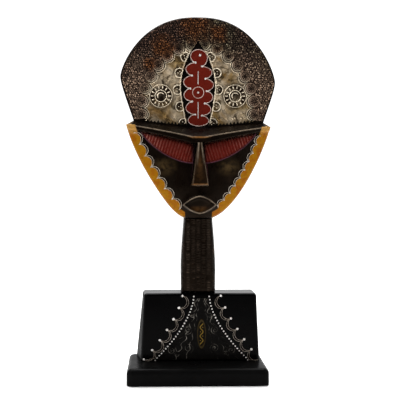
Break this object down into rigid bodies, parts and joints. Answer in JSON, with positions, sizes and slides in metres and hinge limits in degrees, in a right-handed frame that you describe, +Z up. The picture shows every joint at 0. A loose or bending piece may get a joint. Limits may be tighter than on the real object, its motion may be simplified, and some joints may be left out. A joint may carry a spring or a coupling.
{
  "type": "mask on stand",
  "caption": "Tall carved mask with a domed crown faced in embossed metal, a slit-eyed face and a long neck, fixed upright on a tapered block and a low plinth.",
  "frame": {"origin": "on the ground plane, at the middle of the whole work's width and depth", "axes": "+Z up; the mask faces -Y; +X is on the viewer's right"},
  "size_m": [0.234, 0.1, 0.5405],
  "materials": {
    "carved_wood": "dark stained and polished carved wood with painted eyes, rims and crown strip",
    "stippled_metal": "thin stippled sheet, stained dark brown with rust-coloured patches",
    "aged_aluminium": "thin embossed sheet, tarnished pale grey and tan",
    "stained_metal": "thin embossed sheet stained nearly black, bright on its raised dots",
    "black_lacquer": "gloss black lacquer on wood"
  },
  "bodies": {
    "root": {"mask": "carved_wood", "crown_border": "stippled_metal", "crown_plate_left": "aged_aluminium", "crown_plate_right": "aged_aluminium", "base_panel": "stained_metal", "base_block": "black_lacquer", "plinth": "black_lacquer"}
  },
  "joints": []
}
